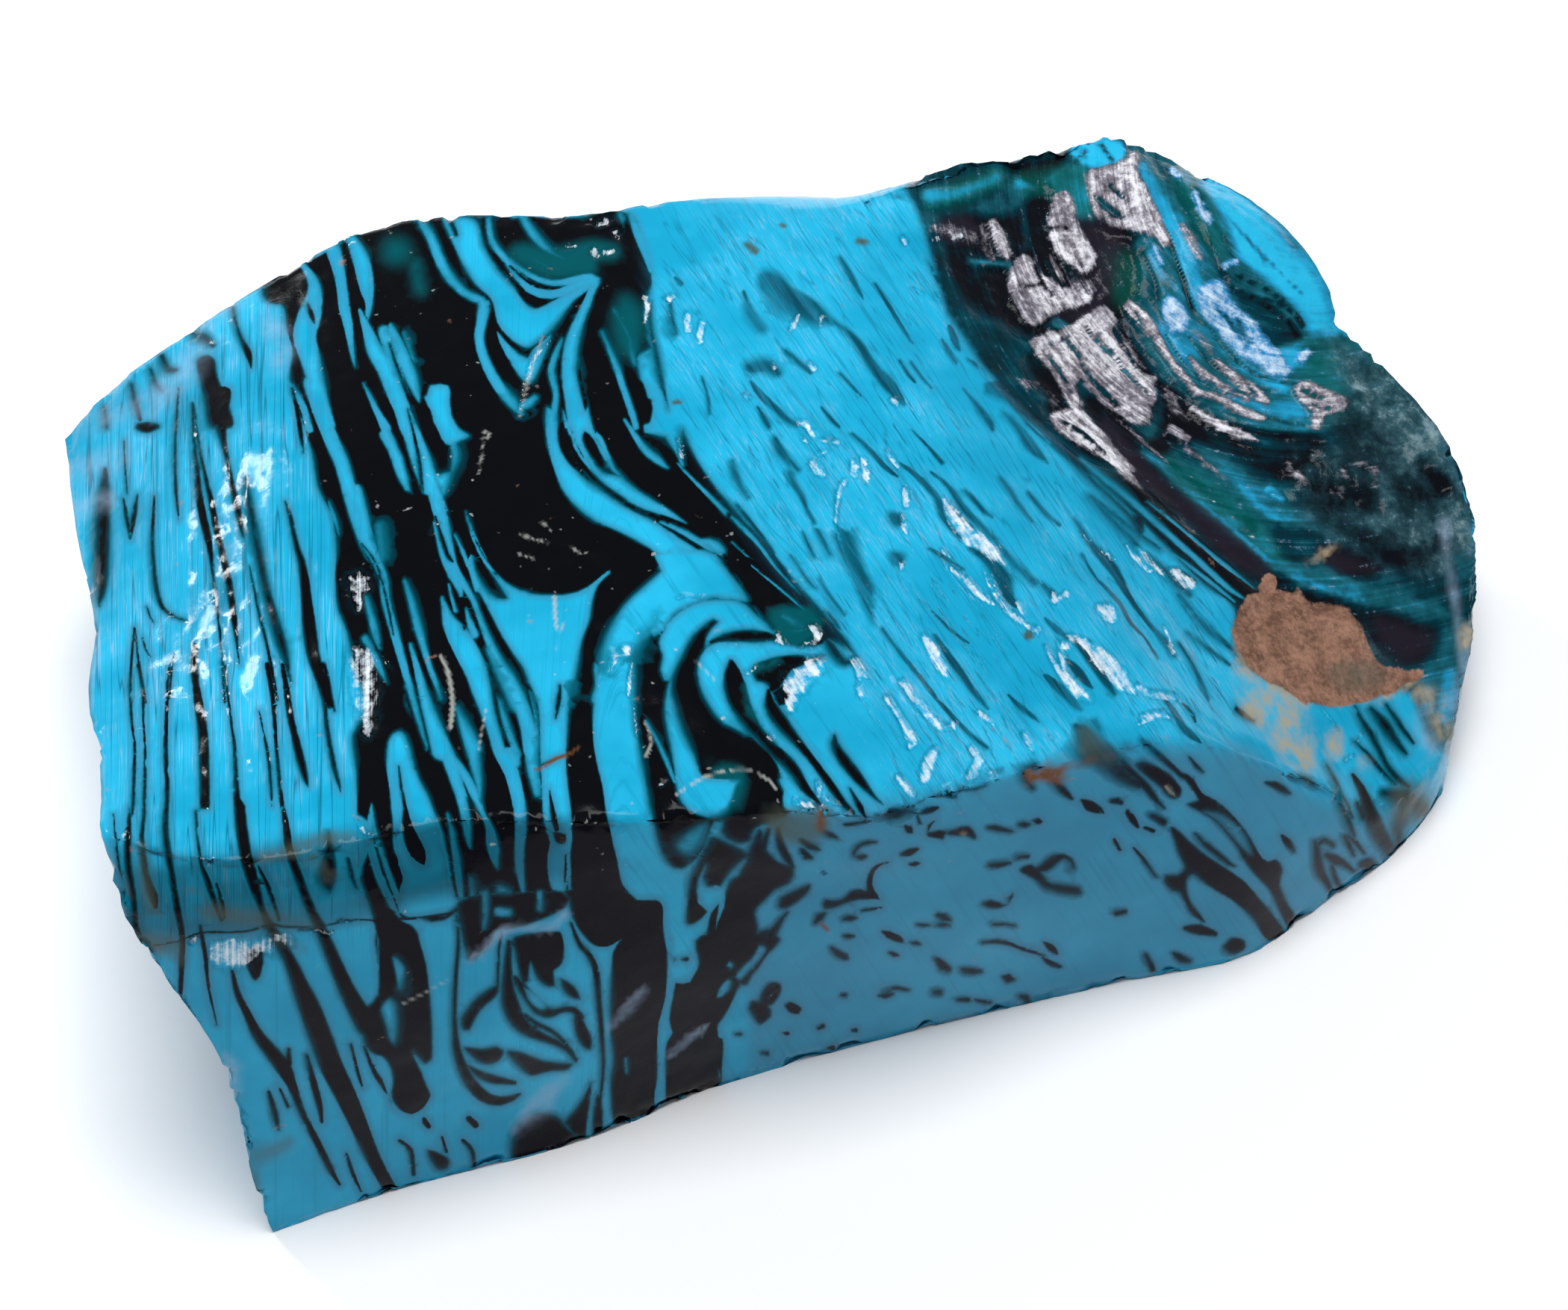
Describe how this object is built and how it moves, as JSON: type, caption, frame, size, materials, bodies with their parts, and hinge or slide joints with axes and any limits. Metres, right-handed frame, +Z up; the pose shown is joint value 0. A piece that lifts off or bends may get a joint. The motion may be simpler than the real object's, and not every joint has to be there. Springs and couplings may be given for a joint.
{
  "type": "rough turquoise",
  "caption": "Rough broken block of turquoise-blue stone with black flow marbling, lying on its flat underside.",
  "frame": {"origin": "on the floor, under the middle of the stone's box", "axes": "+Z up from the flat underside, +X along the stone from its tall end to its low broken end, -Y towards its front face"},
  "size_m": [0.0768, 0.0476, 0.024],
  "materials": {
    "marbled_turquoise": "glassy broken surface, turquoise blue with black and dark teal flow bands"
  },
  "bodies": {
    "root": {"turquoise_stone": "marbled_turquoise"}
  },
  "joints": []
}
